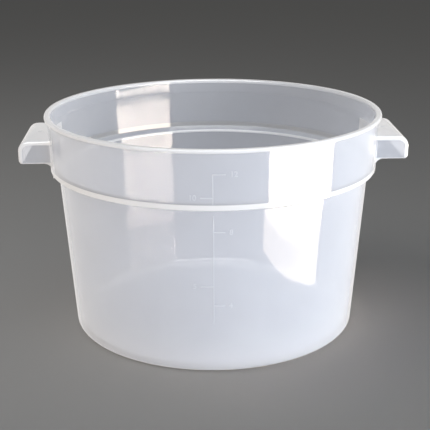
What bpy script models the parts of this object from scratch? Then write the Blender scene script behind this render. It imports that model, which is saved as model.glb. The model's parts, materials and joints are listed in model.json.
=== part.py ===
"""Round food container with two moulded handles and a raised measuring scale.

Units are metres and +Z is up. The origin is the centre of the face that the container stands
on, the handles lie along X and the scale faces -Y. The real container is one moulding, so each
node is one of its natural sections, and neighbours keep JOINT_GAP between them.
"""

import math

import bmesh
import bpy
from mathutils import Vector

# Whole container
HEIGHT = 0.2079
WALL_THICKNESS = 0.0026
JOINT_GAP = 0.0003

# Lip at the mouth, and the collar below it that a lid's skirt seats on
RIM_RADIUS = 0.15875
LIP_WIDTH = 0.0058
LIP_HEIGHT = 0.0036
LIP_OVERHANG = 0.00225
LIP_TOP_ROUNDING = 0.0018
LIP_FOOT_ROUNDING = 0.0012
COLLAR_HEIGHT = 0.0103
COLLAR_EXTRA_THICKNESS = 0.0004

# Wide band above the ledge, measured from the ledge's underside to the top of the rim
BAND_HEIGHT = 0.0524
BAND_TAPER = 0.0018

# Ledge where the band steps in to the lower wall, falling from the band to the wall
LEDGE_STEP = 0.0071
LEDGE_FALL = 0.0032
LEDGE_THICKNESS = 0.0022
LEDGE_UPSTAND = 0.0045
LEDGE_NECK = 0.0024
LEDGE_OUTER_ROUNDING = 0.0012
LEDGE_INNER_ROUNDING = 0.0012

# Base
BASE_RADIUS = 0.1359
FLOOR_THICKNESS = 0.0026
FLOOR_RECESS = 0.0008
FLOOR_MARGIN = 0.0024
FOOT_WIDTH = 0.0060
FOOT_ROUNDING = 0.0050
FLOOR_CORNER_ROUNDING = 0.0090

# Handles, hollow and open underneath
HANDLE_WIDTH = 0.0800
HANDLE_REACH = 0.02145
HANDLE_DROP = 0.0197
HANDLE_DEPTH = 0.0216
HANDLE_PLATE_THICKNESS = 0.0026
HANDLE_LIP_THICKNESS = 0.0030
HANDLE_WEB_THICKNESS = 0.0022
HANDLE_NOSE_ROUNDING = 0.0095
HANDLE_FOOT_ROUNDING = 0.0035
HANDLE_ROOT_ROUNDING = 0.0080
HANDLE_EDGE_ROUNDING = 0.0018
CUT_OVERRUN = 0.0060

# Raised scale: a stem left of the front's middle, with quart marks to its right and litre marks
# to its left, all placed by their distance from the middle along the wall
MARK_RELIEF = 0.0004
MARK_THICKNESS = 0.0009
STEM_WIDTH = 0.0008
WALL_STEM_OFFSET = 0.0056
BAND_STEM_OFFSET = 0.0066
QUART_MARK_END = 0.0041
LITRE_MARK_END = -0.0167
WALL_STEM_SHARES = (0.308, 0.956)
BAND_STEM_SHARES = (0.096, 0.600)
WALL_QUART_SHARES = {"mark_4_quarts": 0.420, "mark_8_quarts": 0.859}
WALL_LITRE_SHARES = {"mark_5_litres": 0.537}
BAND_QUART_SHARES = {"mark_12_quarts": 0.592}
BAND_LITRE_SHARES = {"mark_10_litres": 0.206}

# Faces of round shapes
TURN_STEPS = 96
ARC_STEPS = 3
EDGE_STEPS = 2
MARK_STEPS = 4
MERGE_DISTANCE = 0.000001
SHARP_ANGLE = math.radians(35.0)

# Moulded polypropylene: milky, glossy and partly see-through
PLASTIC_COLOUR = (0.72, 0.74, 0.78, 1.0)
EDGE_COLOUR = (0.86, 0.87, 0.89, 1.0)
PLASTIC_ROUGHNESS = 0.22
PLASTIC_TRANSMISSION = 0.55

# Sizes that follow from the ones above
LIP_UNDERSIDE = HEIGHT - LIP_HEIGHT
COLLAR_FOOT = LIP_UNDERSIDE - COLLAR_HEIGHT
LEDGE_UNDERSIDE = HEIGHT - BAND_HEIGHT
LEDGE_FOOT = LEDGE_UNDERSIDE - LEDGE_FALL
NECK_FOOT = LEDGE_FOOT - LEDGE_NECK
UPSTAND_TOP = LEDGE_UNDERSIDE + LEDGE_UPSTAND
BAND_TOP_RADIUS = RIM_RADIUS - LIP_OVERHANG
BAND_FOOT_RADIUS = BAND_TOP_RADIUS - BAND_TAPER
WALL_TOP_RADIUS = BAND_FOOT_RADIUS - LEDGE_STEP
FLOOR_TOP = FLOOR_RECESS + FLOOR_THICKNESS
CORNER_TOP = FLOOR_TOP + FLOOR_CORNER_ROUNDING
HANDLE_TOP = HEIGHT - HANDLE_DROP
HANDLE_FOOT = HANDLE_TOP - HANDLE_DEPTH
HANDLE_FACE = RIM_RADIUS + HANDLE_REACH
HANDLE_ROOT = math.sqrt(BAND_FOOT_RADIUS ** 2 - (HANDLE_WIDTH / 2) ** 2)
HANDLE_INSIDE = HANDLE_ROOT - CUT_OVERRUN
HANDLE_TAIL = HANDLE_FOOT - HANDLE_ROOT_ROUNDING - CUT_OVERRUN


def clear_scene():
    """Remove every object of the open file."""
    for item in list(bpy.data.objects):
        bpy.data.objects.remove(item)


def plastic(name, colour):
    """Return the moulded plastic's material in the given colour."""
    material = bpy.data.materials.new(name)
    material.use_nodes = True
    shader = material.node_tree.nodes["Principled BSDF"]
    shader.inputs["Base Color"].default_value = colour
    shader.inputs["Roughness"].default_value = PLASTIC_ROUGHNESS
    shader.inputs["Metallic"].default_value = 0.0
    shader.inputs["Transmission Weight"].default_value = PLASTIC_TRANSMISSION
    return material


def add_node(name, bm, colour):
    """Turn a bmesh into a named object with its own material, outward faces and soft shading."""
    bmesh.ops.remove_doubles(bm, verts=bm.verts, dist=MERGE_DISTANCE)
    bmesh.ops.recalc_face_normals(bm, faces=bm.faces)
    mesh = bpy.data.meshes.new(name)
    bm.to_mesh(mesh)
    bm.free()
    mesh.materials.append(plastic(name + "_plastic", colour))
    mesh.shade_smooth()
    mesh.set_sharp_from_angle(angle=SHARP_ANGLE)
    node = bpy.data.objects.new(name, mesh)
    bpy.context.scene.collection.objects.link(node)
    return node


def rounded_outline(corners):
    """Return a closed outline's points, with each corner (x, y, radius) rounded by an arc."""
    points = []
    for index, (x, y, radius) in enumerate(corners):
        corner = Vector((x, y))
        if radius == 0:
            points.append(corner)
            continue
        back = (Vector(corners[index - 1][:2]) - corner).normalized()
        ahead = (Vector(corners[(index + 1) % len(corners)][:2]) - corner).normalized()
        half_angle = back.angle(ahead) / 2
        centre = corner + (back + ahead).normalized() * radius / math.sin(half_angle)
        start = corner + back * radius / math.tan(half_angle) - centre
        end = corner + ahead * radius / math.tan(half_angle) - centre
        turn = math.atan2(start.x * end.y - start.y * end.x, start.dot(end))
        for step in range(ARC_STEPS + 1):
            angle = math.atan2(start.y, start.x) + turn * step / ARC_STEPS
            points.append(centre + Vector((math.cos(angle), math.sin(angle))) * radius)
    return points


def turned_solid(outline):
    """Return a bmesh of an outline of (radius, height) points turned once about Z."""
    bm = bmesh.new()
    verts = [bm.verts.new((radius, 0, height)) for radius, height in outline]
    edges = [bm.edges.new((verts[index - 1], vert)) for index, vert in enumerate(verts)]
    bmesh.ops.spin(bm, geom=verts + edges, cent=(0, 0, 0), axis=(0, 0, 1), angle=math.tau,
                   steps=TURN_STEPS, use_merge=True)
    return bm


def frustum(low, high, low_radius, high_radius):
    """Return a bmesh of a solid round frustum about Z, with the walls' own facets."""
    bm = bmesh.new()
    rings = []
    for height, radius in ((low, low_radius), (high, high_radius)):
        angles = [math.tau * step / TURN_STEPS for step in range(TURN_STEPS)]
        rings.append([bm.verts.new((radius * math.cos(angle), radius * math.sin(angle), height))
                      for angle in angles])
    lower, upper = rings
    for index in range(TURN_STEPS):
        bm.faces.new((lower[index - 1], lower[index], upper[index], upper[index - 1]))
    bm.faces.new(lower)
    bm.faces.new(upper)
    return bm


def extruded_solid(outline, half_width):
    """Return a bmesh of an outline of (x, height) points extruded along Y to both sides."""
    bm = bmesh.new()
    face = bm.faces.new([bm.verts.new((x, -half_width, height)) for x, height in outline])
    grown = bmesh.ops.extrude_face_region(bm, geom=[face])["geom"]
    moved = [item for item in grown if isinstance(item, bmesh.types.BMVert)]
    bmesh.ops.translate(bm, verts=moved, vec=(0, 2 * half_width, 0))
    return bm


def wall_radius(height):
    """Return the lower wall's outer radius at a height."""
    return BASE_RADIUS + (WALL_TOP_RADIUS - BASE_RADIUS) * height / LEDGE_UNDERSIDE


def band_radius(height):
    """Return the band's outer radius at a height."""
    share = (height - LEDGE_UNDERSIDE) / (LIP_UNDERSIDE - LEDGE_UNDERSIDE)
    return BAND_FOOT_RADIUS + BAND_TAPER * share


def ledge_height(radius):
    """Return the height of the ledge's sloping underside at a radius."""
    share = (BAND_FOOT_RADIUS - radius) / (BAND_FOOT_RADIUS - wall_radius(LEDGE_FOOT))
    return LEDGE_UNDERSIDE - LEDGE_FALL * share


def build_base_floor():
    """Make the flat floor disc, which stands clear of the table inside the foot ring."""
    radius = wall_radius(FLOOR_TOP) - WALL_THICKNESS - FLOOR_CORNER_ROUNDING - FLOOR_MARGIN
    add_node("base_floor", frustum(FLOOR_RECESS, FLOOR_TOP, radius, radius), PLASTIC_COLOUR)


def build_foot_ring():
    """Make the ring that the container stands on, with the rounded corner of floor and wall."""
    corner_radius = wall_radius(FLOOR_TOP) - WALL_THICKNESS
    seam_radius = corner_radius - FLOOR_CORNER_ROUNDING - FLOOR_MARGIN + JOINT_GAP
    foot_inner = BASE_RADIUS - FOOT_ROUNDING - FOOT_WIDTH
    outline = rounded_outline([
        (wall_radius(CORNER_TOP), CORNER_TOP, 0),
        (wall_radius(0), 0, FOOT_ROUNDING),
        (foot_inner, 0, 0),
        (foot_inner - FLOOR_RECESS, FLOOR_RECESS, 0),
        (seam_radius, FLOOR_RECESS, 0),
        (seam_radius, FLOOR_TOP, 0),
        (corner_radius, FLOOR_TOP, FLOOR_CORNER_ROUNDING),
        (wall_radius(CORNER_TOP) - WALL_THICKNESS, CORNER_TOP, 0),
    ])
    add_node("foot_ring", turned_solid(outline), EDGE_COLOUR)


def build_lower_wall():
    """Make the tapered wall between the foot ring and the ledge's neck."""
    low = CORNER_TOP + JOINT_GAP
    high = NECK_FOOT - JOINT_GAP
    outline = [
        (wall_radius(high), high),
        (wall_radius(low), low),
        (wall_radius(low) - WALL_THICKNESS, low),
        (wall_radius(high) - WALL_THICKNESS, high),
    ]
    add_node("lower_wall", turned_solid(outline), PLASTIC_COLOUR)


def build_stacking_ledge():
    """Make the sloping ledge that joins the wider band to the lower wall, with its neck on the wall."""
    band_inner = band_radius(UPSTAND_TOP) - WALL_THICKNESS
    wall_inner = wall_radius(LEDGE_FOOT) - WALL_THICKNESS
    outline = rounded_outline([
        (band_radius(UPSTAND_TOP), UPSTAND_TOP, 0),
        (BAND_FOOT_RADIUS, LEDGE_UNDERSIDE, LEDGE_OUTER_ROUNDING),
        (wall_radius(LEDGE_FOOT), LEDGE_FOOT, 0),
        (wall_radius(NECK_FOOT), NECK_FOOT, 0),
        (wall_radius(NECK_FOOT) - WALL_THICKNESS, NECK_FOOT, 0),
        (wall_inner, ledge_height(wall_inner) + LEDGE_THICKNESS, LEDGE_INNER_ROUNDING),
        (band_inner, ledge_height(band_inner) + LEDGE_THICKNESS, LEDGE_INNER_ROUNDING),
        (band_inner, UPSTAND_TOP, 0),
    ])
    add_node("stacking_ledge", turned_solid(outline), EDGE_COLOUR)


def build_upper_band():
    """Make the wide band between the ledge and the collar."""
    low = UPSTAND_TOP + JOINT_GAP
    high = COLLAR_FOOT - JOINT_GAP
    outline = [
        (band_radius(high), high),
        (band_radius(low), low),
        (band_radius(low) - WALL_THICKNESS, low),
        (band_radius(high) - WALL_THICKNESS, high),
    ]
    add_node("upper_band", turned_solid(outline), PLASTIC_COLOUR)


def build_rim():
    """Make the thick rounded lip and the collar below it."""
    lip_inner = RIM_RADIUS - LIP_WIDTH
    collar_thickness = WALL_THICKNESS + COLLAR_EXTRA_THICKNESS
    outline = rounded_outline([
        (RIM_RADIUS, HEIGHT, LIP_TOP_ROUNDING),
        (RIM_RADIUS, LIP_UNDERSIDE, LIP_FOOT_ROUNDING),
        (band_radius(LIP_UNDERSIDE), LIP_UNDERSIDE, 0),
        (band_radius(COLLAR_FOOT), COLLAR_FOOT, 0),
        (band_radius(COLLAR_FOOT) - collar_thickness, COLLAR_FOOT, 0),
        (band_radius(LIP_UNDERSIDE) - collar_thickness, LIP_UNDERSIDE, 0),
        (lip_inner, LIP_UNDERSIDE + LIP_FOOT_ROUNDING, 0),
        (lip_inner, HEIGHT, LIP_TOP_ROUNDING),
    ])
    add_node("rim", turned_solid(outline), EDGE_COLOUR)


def handle_body():
    """Return the handle's outer form at +X as a bmesh, still running into the band."""
    outline = rounded_outline([
        (HANDLE_INSIDE, HANDLE_TOP, 0),
        (HANDLE_FACE, HANDLE_TOP, HANDLE_NOSE_ROUNDING),
        (HANDLE_FACE, HANDLE_FOOT, HANDLE_FOOT_ROUNDING),
        (HANDLE_ROOT, HANDLE_FOOT, HANDLE_ROOT_ROUNDING),
        (HANDLE_ROOT, HANDLE_TAIL, 0),
        (HANDLE_INSIDE, HANDLE_TAIL, 0),
    ])
    bm = extruded_solid(outline, HANDLE_WIDTH / 2)
    side_edges = [edge for edge in bm.edges if edge.verts[0].co.y == edge.verts[1].co.y]
    outer_edges = [edge for edge in side_edges if max(vert.co.x for vert in edge.verts) > HANDLE_ROOT]
    rounding = min(HANDLE_EDGE_ROUNDING, HANDLE_WEB_THICKNESS)
    bmesh.ops.bevel(bm, geom=outer_edges, offset=rounding, segments=EDGE_STEPS, profile=0.5,
                    affect="EDGES")
    return bm


def handle_hollow():
    """Return the space under the handle's plate at +X as a bmesh."""
    inside = HANDLE_INSIDE - CUT_OVERRUN
    ceiling = HANDLE_TOP - HANDLE_PLATE_THICKNESS
    face = HANDLE_FACE - HANDLE_LIP_THICKNESS
    tail = HANDLE_TAIL - CUT_OVERRUN
    outline = rounded_outline([
        (inside, ceiling, 0),
        (face, ceiling, HANDLE_NOSE_ROUNDING - HANDLE_PLATE_THICKNESS),
        (face, tail, 0),
        (inside, tail, 0),
    ])
    return extruded_solid(outline, HANDLE_WIDTH / 2 - HANDLE_WEB_THICKNESS)


def add_cutter(name, bm, turn):
    """Make a hidden cutter from a bmesh, turned about Z."""
    cutter = add_node(name, bm, PLASTIC_COLOUR)
    cutter.rotation_euler.z = turn
    cutter.hide_render = True
    cutter.display_type = "WIRE"
    return cutter


def build_handle(name, turn, band_cutter):
    """Make one hollow handle, turned about Z to its side and trimmed to the band."""
    handle = add_node(name, handle_body(), PLASTIC_COLOUR)
    handle.rotation_euler.z = turn
    for cutter in (add_cutter(name + "_hollow", handle_hollow(), turn), band_cutter):
        cut = handle.modifiers.new(cutter.name, "BOOLEAN")
        cut.operation = "DIFFERENCE"
        cut.object = cutter


def build_handles():
    """Make both handles against one cutter that stands JOINT_GAP outside the band."""
    low = HANDLE_TAIL - CUT_OVERRUN
    low_radius = band_radius(low) + JOINT_GAP
    high_radius = band_radius(HEIGHT) + JOINT_GAP
    band_cutter = add_cutter("band_cutter", frustum(low, HEIGHT, low_radius, high_radius), 0)
    build_handle("handle_right", 0, band_cutter)
    build_handle("handle_left", math.pi, band_cutter)


def add_mark(name, radius_at, low, high, start, end):
    """Make a raised bar that follows a wall from start to end, measured to the right of front."""
    bm = bmesh.new()
    sections = []
    for step in range(MARK_STEPS + 1):
        angle = (start + (end - start) * step / MARK_STEPS) / radius_at(low)
        section = []
        for height, relief in ((low, 0), (low, MARK_RELIEF), (high, MARK_RELIEF), (high, 0)):
            radius = radius_at(height) + JOINT_GAP + relief
            section.append(bm.verts.new((radius * math.sin(angle), -radius * math.cos(angle), height)))
        sections.append(section)
    for section, following in zip(sections, sections[1:]):
        for index in range(len(section)):
            bm.faces.new((section[index - 1], section[index], following[index], following[index - 1]))
    bm.faces.new(sections[0])
    bm.faces.new(sections[-1])
    add_node(name, bm, EDGE_COLOUR)


def height_on_wall(share):
    """Return a height on the lower wall from a share of its rise."""
    return LEDGE_UNDERSIDE * share


def height_on_band(share):
    """Return a height on the band from a share of its rise."""
    return LEDGE_UNDERSIDE + BAND_HEIGHT * share


def build_stems():
    """Make the upright line of the scale, one length on each wall."""
    half = STEM_WIDTH / 2
    add_mark("lower_stem", wall_radius, *map(height_on_wall, WALL_STEM_SHARES),
             -WALL_STEM_OFFSET - half, -WALL_STEM_OFFSET + half)
    add_mark("upper_stem", band_radius, *map(height_on_band, BAND_STEM_SHARES),
             -BAND_STEM_OFFSET - half, -BAND_STEM_OFFSET + half)


def build_marks(shares, radius_at, height_at, stem_offset, far_end):
    """Make the marks that run from one wall's stem to a far end on its left or right."""
    clearance = STEM_WIDTH / 2 + JOINT_GAP
    near = -stem_offset + math.copysign(clearance, far_end + stem_offset)
    start, end = sorted((near, far_end))
    for name, share in shares.items():
        low = height_at(share) - MARK_THICKNESS / 2
        add_mark(name, radius_at, low, low + MARK_THICKNESS, start, end)


def build_container():
    """Build every node of the container."""
    clear_scene()
    build_base_floor()
    build_foot_ring()
    build_lower_wall()
    build_stacking_ledge()
    build_upper_band()
    build_rim()
    build_handles()
    build_stems()
    build_marks(WALL_QUART_SHARES, wall_radius, height_on_wall, WALL_STEM_OFFSET, QUART_MARK_END)
    build_marks(BAND_QUART_SHARES, band_radius, height_on_band, BAND_STEM_OFFSET, QUART_MARK_END)
    build_marks(WALL_LITRE_SHARES, wall_radius, height_on_wall, WALL_STEM_OFFSET, LITRE_MARK_END)
    build_marks(BAND_LITRE_SHARES, band_radius, height_on_band, BAND_STEM_OFFSET, LITRE_MARK_END)


build_container()
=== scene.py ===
"""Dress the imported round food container: milky plastic, raised scale, camera and plain studio.

The container is one translucent moulding. Its body is turned from one outline, so that no seam
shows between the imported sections, and the handles are seated in the body's wall.
"""

import json
import logging
import math
from dataclasses import dataclass
from enum import Enum
from functools import cached_property
from typing import Mapping, Sequence, Union

import bmesh
import bpy
from mathutils import Matrix, Vector

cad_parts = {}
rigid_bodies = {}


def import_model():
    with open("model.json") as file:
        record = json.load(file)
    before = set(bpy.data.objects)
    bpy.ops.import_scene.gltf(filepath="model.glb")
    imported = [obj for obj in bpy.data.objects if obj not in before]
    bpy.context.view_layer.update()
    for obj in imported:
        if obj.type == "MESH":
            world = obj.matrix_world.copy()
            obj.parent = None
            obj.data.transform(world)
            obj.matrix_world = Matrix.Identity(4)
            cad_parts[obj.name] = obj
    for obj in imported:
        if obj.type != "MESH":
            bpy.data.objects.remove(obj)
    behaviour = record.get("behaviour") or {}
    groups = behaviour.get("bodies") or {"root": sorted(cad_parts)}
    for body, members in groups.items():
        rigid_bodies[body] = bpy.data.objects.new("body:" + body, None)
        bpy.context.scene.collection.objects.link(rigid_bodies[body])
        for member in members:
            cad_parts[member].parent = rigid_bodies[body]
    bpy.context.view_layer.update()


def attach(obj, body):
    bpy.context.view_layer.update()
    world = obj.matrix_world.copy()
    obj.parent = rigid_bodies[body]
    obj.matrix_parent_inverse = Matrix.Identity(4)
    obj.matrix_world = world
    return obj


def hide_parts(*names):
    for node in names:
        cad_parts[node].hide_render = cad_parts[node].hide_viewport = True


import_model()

ROOT_BODY = "root"
WELD_DISTANCE = 0.000001
IMAGE_SIDE_PX = 430.0
ARC_STEP = math.radians(9.0)
PLASTIC_IOR = 1.49
UP = Vector((0.0, 0.0, 1.0))

Socket = bpy.types.NodeSocket
Value = Union[Socket, float]
Feeds = Mapping[Union[int, str], object]
Colour = tuple[float, float, float]

log = logging.getLogger("round_food_container")


class Side(Enum):
    """The two sides of the container that carry a handle, as a sign along X."""

    RIGHT = 1
    LEFT = -1


class Slot(Enum):
    """The record's material slots."""

    THIN = "thin_plastic"
    SCALE = "raised_scale"


@dataclass(frozen=True)
class Corner:
    """A corner of an outline: its distance from the axis, its height and what rounds it."""

    across: float
    height: float
    rounding: float = 0.0

    @property
    def tip(self) -> Vector:
        """The corner's point before it is rounded."""
        return Vector((self.across, self.height))

    def arc(self, before: Vector, after: Vector) -> list[Vector]:
        """Round the corner.

        Args:
            before: The point that the outline comes from.
            after: The point that the outline goes to.

        Returns:
            The arc's points, or the corner itself where it has no rounding.
        """
        if not self.rounding:
            return [self.tip]
        back = (before - self.tip).normalized()
        ahead = (after - self.tip).normalized()
        half_angle = back.angle(ahead) / 2
        centre = self.tip + (back + ahead).normalized() * self.rounding / math.sin(half_angle)
        start = self.tip + back * self.rounding / math.tan(half_angle) - centre
        end = self.tip + ahead * self.rounding / math.tan(half_angle) - centre
        turn = math.atan2(start.x * end.y - start.y * end.x, start.dot(end))
        count = max(2, math.ceil(abs(turn) / ARC_STEP))
        first = math.atan2(start.y, start.x)
        angles = [first + turn * index / count for index in range(count + 1)]
        return [centre + Vector((math.cos(angle), math.sin(angle))) * self.rounding
                for angle in angles]


def round_axis(radius: float, angle: float, height: float) -> Vector:
    """Return the place at a radius, an angle to the right of the front and a height."""
    return Vector((radius * math.sin(angle), -radius * math.cos(angle), height))


def rounded_outline(corners: Sequence[Corner], closed: bool) -> list[Vector]:
    """Round the corners of an outline.

    Args:
        corners: The corners in order.
        closed: Whether the last corner joins the first.

    Returns:
        The outline's points.
    """
    tips = [corner.tip for corner in corners]
    points: list[Vector] = []
    for index, corner in enumerate(corners):
        if not closed and index in (0, len(corners) - 1):
            points.append(tips[index])
        else:
            points += corner.arc(tips[index - 1], tips[(index + 1) % len(tips)])
    return points


def with_supports(points: Sequence[Vector], margin: float, longest: float) -> list[Vector]:
    """Cut the long runs of an open outline, so that soft shading stays in the roundings.

    Args:
        points: The outline's points.
        margin: How far from each end of a long run the first cut lies.
        longest: The longest run that stays whole.

    Returns:
        The points with the cuts added.
    """
    result = [points[0]]
    for start, end in zip(points, points[1:]):
        length = (end - start).length
        if length > 3 * margin:
            pieces = max(1, math.ceil((length - 2 * margin) / longest))
            cuts = [margin + (length - 2 * margin) * index / pieces for index in range(pieces + 1)]
            result += [start.lerp(end, cut / length) for cut in cuts]
        result.append(end)
    return result


class NodeBench:
    """A node tree under construction, with short calls to add and join its nodes."""

    def __init__(self, tree: bpy.types.NodeTree) -> None:
        """Start on a tree."""
        self.tree = tree

    def add(self, kind: str, feeds: Feeds | None = None, **settings: object) -> bpy.types.Node:
        """Add a node.

        Args:
            kind: The node's type.
            feeds: What goes into its inputs, by their names or numbers.
            **settings: Properties to set on it first.

        Returns:
            The new node.
        """
        node = self.tree.nodes.new(kind)
        for name, value in settings.items():
            setattr(node, name, value)
        for target, value in (feeds or {}).items():
            self.feed(node.inputs[target], value)
        return node

    def feed(self, target: Socket, value: object) -> None:
        """Join a socket to a target, or write a plain value on it.

        Args:
            target: The input.
            value: The socket or the plain value.
        """
        if isinstance(value, bpy.types.NodeSocket):
            self.tree.links.new(value, target)
        else:
            target.default_value = value

    def calc(self, operation: str, first: Value, second: Value = 0.0,
             clamp: bool = False) -> Socket:
        """Add a sum on one or two values.

        Args:
            operation: The name of the sum.
            first: The first value.
            second: The second value.
            clamp: Whether to keep the result from 0 to 1.

        Returns:
            The result's socket.
        """
        feeds = {0: first, 1: second}
        return self.add("ShaderNodeMath", feeds, operation=operation, use_clamp=clamp).outputs[0]

    def times(self, first: Value, second: Value) -> Socket:
        """Return the product of two values."""
        return self.calc("MULTIPLY", first, second)

    def minus(self, first: Value, second: Value) -> Socket:
        """Return the first value less the second."""
        return self.calc("SUBTRACT", first, second)

    def highest(self, first: Value, *others: Value) -> Value:
        """Return the highest of some values.

        Args:
            first: The first value.
            *others: The other values.

        Returns:
            The highest value's socket.
        """
        for other in others:
            first = self.calc("MAXIMUM", first, other)
        return first

    def blend(self, share: Value, low: object, high: object, mode: str = "MIX") -> Socket:
        """Mix two colours or values by a share.

        Args:
            share: 0 for low, 1 for high.
            low: A colour or socket.
            high: A colour or socket.
            mode: How the two are mixed.

        Returns:
            The mixed colour's socket.
        """
        feeds = {"Factor": share, 6: low, 7: high}
        return self.add("ShaderNodeMix", feeds, data_type="RGBA", blend_type=mode).outputs[2]

    def span(self, value: Value, low: float, high: float, start: float = 0.0, end: float = 1.0,
             soft: bool = False) -> Socket:
        """Map a value from one range to another and keep it there.

        Args:
            value: The value to map.
            low: Where the range starts.
            high: Where the range ends.
            start: The result at low.
            end: The result at high.
            soft: Whether the result eases in and out.

        Returns:
            The mapped value's socket.
        """
        feeds = {"Value": value, "From Min": low, "From Max": high, "To Min": start, "To Max": end}
        ease = "SMOOTHSTEP" if soft else "LINEAR"
        return self.add("ShaderNodeMapRange", feeds, interpolation_type=ease).outputs[0]

    def parts(self, vector: Socket) -> tuple[Socket, ...]:
        """Return a vector's X, Y and Z."""
        return tuple(self.add("ShaderNodeSeparateXYZ", {0: vector}).outputs)

    def length(self, first: Socket, second: Socket) -> Socket:
        """Return the length of a vector with two parts."""
        flat = self.add("ShaderNodeCombineXYZ", {"X": first, "Y": second}).outputs[0]
        return self.add("ShaderNodeVectorMath", {0: flat}, operation="LENGTH").outputs["Value"]


class SurfaceBench(NodeBench):
    """A new material's node tree, with the place on the surface in object coordinates."""

    def __init__(self, name: str) -> None:
        """Start a material.

        Args:
            name: The material's name.
        """
        self.material = bpy.data.materials.new(name)
        self.material.use_nodes = True
        super().__init__(self.material.node_tree)
        self.shader = self.tree.nodes["Principled BSDF"]

    def dress(self, values: Mapping[str, object]) -> bpy.types.Material:
        """Feed the shader.

        Args:
            values: What goes into its inputs, by their names.

        Returns:
            The material.
        """
        for name, value in values.items():
            self.feed(self.shader.inputs[name], value)
        return self.material

    @cached_property
    def place(self) -> Socket:
        """The place as a vector."""
        return self.add("ShaderNodeTexCoord").outputs["Object"]

    @cached_property
    def axes(self) -> tuple[Socket, ...]:
        """The distances to the right and to the back, and the height."""
        return self.parts(self.place)

    @property
    def height(self) -> Socket:
        """The height."""
        return self.axes[2]

    @cached_property
    def reach(self) -> Socket:
        """The distance from the upright axis."""
        return self.length(*self.axes[:2])


def paint(colour: Colour) -> tuple[float, float, float, float]:
    """Return a colour with full alpha."""
    return (*colour, 1.0)


@dataclass(frozen=True)
class Band:
    """A range of heights or of distances, and the share that counts there."""

    low: float
    high: float
    share: float = 1.0


@dataclass(frozen=True)
class Grain:
    """A soft random pattern: its waves per metre, its finer layers and the range that shows."""

    scale: float
    detail: float
    low: float = 0.0
    high: float = 1.0

    def noise(self, bench: SurfaceBench) -> Socket:
        """Return the bare pattern."""
        feeds = {"Vector": bench.place, "Scale": self.scale, "Detail": self.detail}
        return bench.add("ShaderNodeTexNoise", feeds).outputs["Fac"]

    def spread(self, bench: SurfaceBench, start: float, end: float) -> Socket:
        """Return the pattern, mapped to a range of values."""
        return bench.span(self.noise(bench), self.low, self.high, start, end)


@dataclass(frozen=True)
class Look:
    """How the plastic looks at a place.

    It looks thick from 0 to 1. Outside is 1 on faces that turn milkier towards their outline and
    0 on the others, and tone is painted shade: what the colour is dimmed to, 1 for not at all.
    """

    thick: Value
    outside: Value = 1.0
    tone: Value = 1.0


@dataclass(frozen=True)
class MilkyPlastic:
    """Glossy polypropylene: a thin wall lets light through, and a thick edge is white."""

    name: str
    thin_colour: Colour = (0.85, 0.88, 0.95)
    thick_colour: Colour = (0.965, 0.97, 0.98)
    thin_cover: float = 0.37
    thick_cover: float = 0.93
    grazing_cover: float = 0.80
    grazing_power: float = 2.2
    inner_grazing: float = 0.90
    facing_blend: float = 0.5
    gloss_roughness: float = 0.06
    coat_roughness: float = 0.03
    smudge_spread: float = 0.03
    skin_wave: float = 0.00004
    cloud_tone: float = 0.975
    cloud: Grain = Grain(26.0, 4.0, 0.3, 0.7)
    smudge: Grain = Grain(60.0, 6.0, 0.35, 0.7)
    wave: Grain = Grain(34.0, 2.0)

    def look(self, bench: SurfaceBench) -> Look:
        """Return how the plastic looks, here thin all over."""
        return Look(0.0)

    def material(self) -> bpy.types.Material:
        """Build the finish.

        Returns:
            The material.
        """
        bench = SurfaceBench(self.name)
        look = self.look(bench)
        tint = bench.blend(look.thick, paint(self.thin_colour), paint(self.thick_colour))
        # The colour is dimmed by the random cloud and by the look's painted shade.
        cloud_and_painted_shade = bench.times(self.cloud.spread(bench, self.cloud_tone, 1.0), look.tone)
        low = self.gloss_roughness - self.smudge_spread / 2
        bump = {"Distance": self.skin_wave, "Height": self.wave.noise(bench)}
        return bench.dress({
            "Base Color": bench.blend(1.0, tint, cloud_and_painted_shade, "MULTIPLY"),
            "Alpha": self.cover(bench, look),
            "Roughness": self.smudge.spread(bench, low, low + self.smudge_spread),
            "Normal": bench.add("ShaderNodeBump", bump).outputs["Normal"],
            "IOR": PLASTIC_IOR,
            "Coat Weight": 1.0,
            "Coat Roughness": self.coat_roughness,
            "Coat IOR": PLASTIC_IOR,
        })

    def cover(self, bench: SurfaceBench, look: Look) -> Socket:
        """Return how much of what lies behind one face is hidden.

        Args:
            bench: The material's tree.
            look: How the plastic looks there.

        Returns:
            The cover's socket.
        """
        facing = bench.add("ShaderNodeLayerWeight", {"Blend": self.facing_blend})
        grazing = bench.calc("POWER", facing.outputs["Facing"], self.grazing_power)
        plain = bench.span(look.thick, 0.0, 1.0, self.thin_cover, self.thick_cover)
        rise = bench.span(look.outside, 0.0, 1.0, self.inner_grazing, self.grazing_cover)
        added = bench.times(bench.minus(1.0, plain), rise)
        return bench.calc("ADD", plain, bench.times(added, grazing), clamp=True)


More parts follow.
